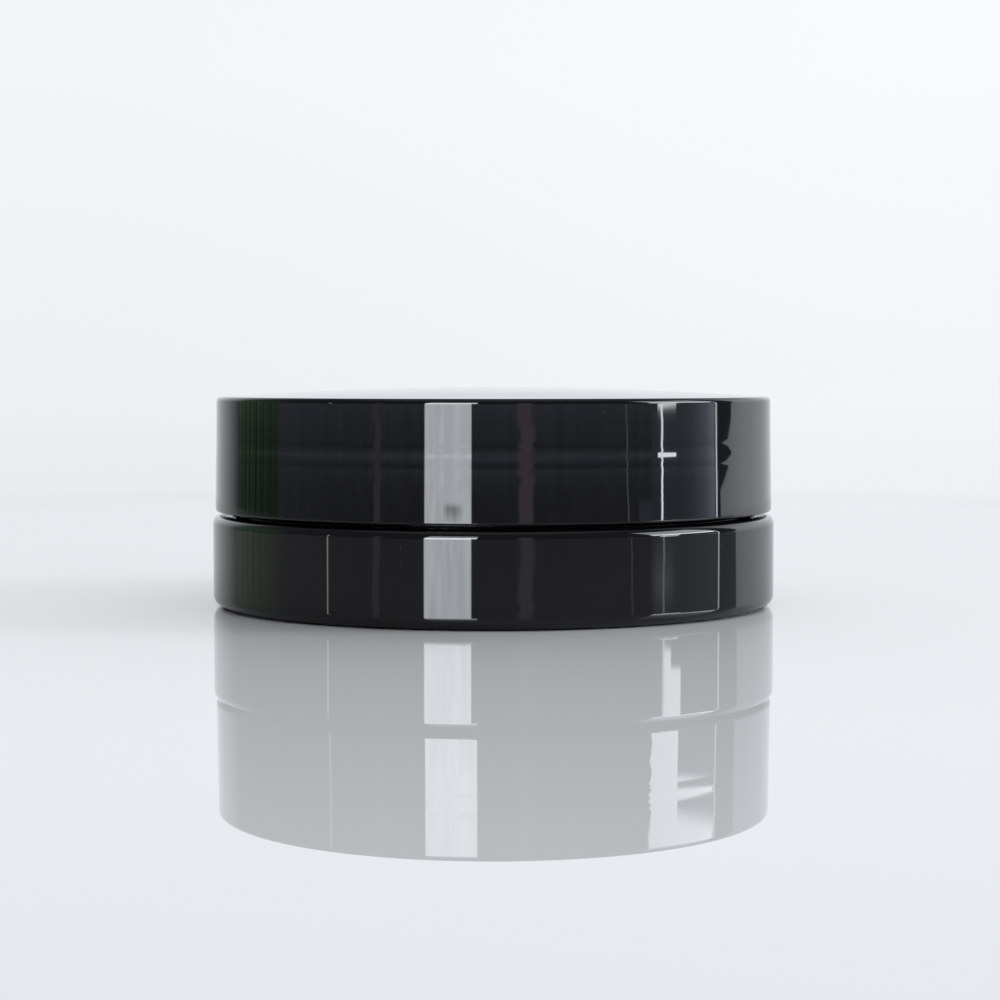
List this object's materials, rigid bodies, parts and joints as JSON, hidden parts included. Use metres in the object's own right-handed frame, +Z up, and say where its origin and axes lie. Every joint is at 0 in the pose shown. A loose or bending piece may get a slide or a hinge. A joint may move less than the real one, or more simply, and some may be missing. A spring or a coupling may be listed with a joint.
{
  "type": "cosmetic cream jar",
  "caption": "Low round double-walled cream jar with a gloss black screw lid, foam liner and plug-in sealing disc.",
  "frame": {"origin": "on the jar's axis, at the surface that its foot ring stands on", "axes": "+Z up along the jar's axis; the sealing disc's tab folds about X, and its free end points to -Y when it is flat"},
  "size_m": [0.07, 0.07, 0.0271],
  "materials": {
    "gloss_black": "polished moulding",
    "satin_black": "satin moulding",
    "natural_white": "waxy, slightly translucent",
    "white_foam": "fine closed-cell foam"
  },
  "bodies": {
    "jar": {"outer_shell": "gloss_black", "inner_cup": "satin_black", "base_plate": "satin_black"},
    "liner": {"lid_liner": "white_foam"},
    "lid": {"lid": "gloss_black"},
    "seal": {"sealing_disc": "natural_white"},
    "tab": {"disc_tab": "natural_white"}
  },
  "joints": [
    {"name": "lid_lift", "type": "slide", "parent": "jar", "child": "liner", "axis": [0, 0, 1], "range_m": [0, 0.036]},
    {"name": "lid_turn", "type": "hinge", "parent": "liner", "child": "lid", "pos_m": [0, 0, 0.012], "axis": [0, 0, 1], "range_deg": [0, 2160]},
    {"name": "disc_lift", "type": "slide", "parent": "jar", "child": "seal", "axis": [0, 0, 1], "range_m": [0, 0.018]},
    {"name": "tab_lift", "type": "hinge", "parent": "seal", "child": "tab", "pos_m": [0, 0, 0.02315], "axis": [-1, 0, 0], "range_deg": [0, 90]}
  ],
  "couplings": [
    {"joint": "lid_lift", "follows": "lid_turn", "m_per_rad": 0.00095493},
    {"joint": "disc_lift", "follows": "lid_turn", "m_per_rad": 0.00047746},
    {"joint": "tab_lift", "follows": "lid_turn", "ratio": 0.041667}
  ]
}
